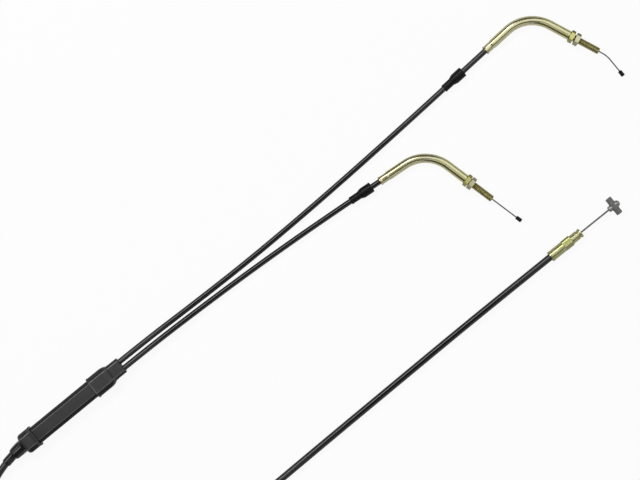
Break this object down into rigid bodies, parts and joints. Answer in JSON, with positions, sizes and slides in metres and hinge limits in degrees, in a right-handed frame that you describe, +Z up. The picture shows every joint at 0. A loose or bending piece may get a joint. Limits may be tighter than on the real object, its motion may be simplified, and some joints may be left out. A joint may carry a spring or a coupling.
{
  "type": "throttle cable",
  "caption": "Throttle cable whose lever end works a sliding splitter block that pulls a long and a short branch, each ending in a bent guide tube, threaded adjuster and nipple.",
  "frame": {"origin": "centre of the splitter body's flat underside, between its two boots", "axes": "+X along the splitter body from the lever's side to the branches, +Z up from the surface that the cable lies on"},
  "size_m": [0.6989, 0.1889, 0.0164],
  "materials": {
    "splitter_plastic": "moulded black plastic, fine matt grain",
    "slider_plastic": "natural acetal, smooth",
    "boot_rubber": "moulded black rubber, slight sheen",
    "conduit_jacket": "extruded black sheath, glossy",
    "winding_steel": "drawn steel, oiled",
    "liner_plastic": "slippery natural liner",
    "cap_metal": "zinc-plated pressed cap",
    "wire_steel": "stranded galvanised wire",
    "nipple_metal": "dark soldered nipple",
    "yellow_zinc_tube": "yellow-passivated zinc plating on drawn tube",
    "yellow_zinc_ferrule": "yellow-passivated zinc plating on turned steel",
    "yellow_zinc_thread": "yellow-passivated zinc plating on a rolled thread",
    "zinc_nut": "pale zinc plating",
    "cast_barrel": "grey die casting, rough grain",
    "bright_metal": "bright turned metal"
  },
  "bodies": {
    "cable": {"branch_boot": "boot_rubber", "branch_end_plug": "splitter_plastic", "lever_ferrule": "yellow_zinc_ferrule", "long_conduit_cap": "cap_metal", "long_conduit_jacket": "conduit_jacket", "long_conduit_liner": "liner_plastic", "long_conduit_winding": "winding_steel", "long_elbow_liner": "liner_plastic", "long_elbow_tube": "yellow_zinc_tube", "long_exposed_wire": "wire_steel", "long_inner_wire": "wire_steel", "main_boot": "boot_rubber", "main_conduit_cap": "cap_metal", "main_conduit_jacket": "conduit_jacket", "main_conduit_liner": "liner_plastic", "main_conduit_winding": "winding_steel", "main_end_plug": "splitter_plastic", "main_inner_wire": "wire_steel", "short_conduit_cap": "cap_metal", "short_conduit_jacket": "conduit_jacket", "short_conduit_liner": "liner_plastic", "short_conduit_winding": "winding_steel", "short_elbow_liner": "liner_plastic", "short_elbow_tube": "yellow_zinc_tube", "short_inner_wire": "wire_steel", "splitter_body": "splitter_plastic"},
    "throttle_end": {"lever_wire": "wire_steel", "lever_collar": "bright_metal", "lever_barrel": "cast_barrel", "lever_dome": "bright_metal"},
    "slider": {"splitter_slider": "slider_plastic", "main_slider_nipple": "nipple_metal", "main_slider_wire": "wire_steel", "long_slider_nipple": "nipple_metal", "long_slider_wire": "wire_steel", "short_slider_nipple": "nipple_metal", "short_slider_wire": "wire_steel"},
    "long_nipple": {"long_carb_nipple": "nipple_metal"},
    "short_nipple": {"short_carb_nipple": "nipple_metal", "short_exposed_wire": "wire_steel"},
    "long_adjuster": {"long_adjuster_screw": "yellow_zinc_thread"},
    "short_adjuster": {"short_adjuster_screw": "yellow_zinc_thread"},
    "long_nut": {"long_lock_nut": "zinc_nut"},
    "short_nut": {"short_lock_nut": "zinc_nut"},
    "long_boot": {"long_dust_boot": "boot_rubber"},
    "short_boot": {"short_dust_boot": "boot_rubber"}
  },
  "joints": [
    {"name": "throttle_pull", "type": "slide", "parent": "cable", "child": "throttle_end", "axis": [1, -0.0089, 0], "range_m": [0, 0.022], "deforming": ["main_inner_wire"]},
    {"name": "slider_travel", "type": "slide", "parent": "cable", "child": "slider", "axis": [-1, 0, 0], "range_m": [0, 0.022]},
    {"name": "long_nipple_pull", "type": "slide", "parent": "cable", "child": "long_nipple", "axis": [-0.123, 0.9924, 0], "range_m": [0, 0.022], "deforming": ["long_exposed_wire", "long_inner_wire"]},
    {"name": "short_nipple_pull", "type": "slide", "parent": "cable", "child": "short_nipple", "axis": [-0.2372, 0.9715, 0], "range_m": [0, 0.022], "deforming": ["short_inner_wire"]},
    {"name": "long_adjuster_turn", "type": "hinge", "parent": "cable", "child": "long_adjuster", "pos_m": [0.54575, -0.02564, 0.0034], "axis": [0.3814, -0.9244, 0], "continuous": true},
    {"name": "long_nut_run", "type": "slide", "parent": "long_adjuster", "child": "long_nut", "axis": [0.3814, -0.9244, 0], "range_m": [-0.0014, 0.018]},
    {"name": "long_boot_slide", "type": "slide", "parent": "cable", "child": "long_boot", "axis": [0.9983, 0.0579, 0], "range_m": [0, 0.034]},
    {"name": "short_adjuster_turn", "type": "hinge", "parent": "cable", "child": "short_adjuster", "pos_m": [0.39692, -0.06475, 0.0034], "axis": [0.2372, -0.9715, 0], "continuous": true},
    {"name": "short_nut_run", "type": "slide", "parent": "short_adjuster", "child": "short_nut", "axis": [0.2372, -0.9715, 0], "range_m": [-0.0006, 0.018]},
    {"name": "short_boot_slide", "type": "slide", "parent": "cable", "child": "short_boot", "axis": [0.9956, -0.0937, 0], "range_m": [0, 0.016]}
  ],
  "couplings": [
    {"joint": "slider_travel", "follows": "throttle_pull", "ratio": 1},
    {"joint": "long_nipple_pull", "follows": "throttle_pull", "ratio": 1},
    {"joint": "short_nipple_pull", "follows": "throttle_pull", "ratio": 1}
  ]
}
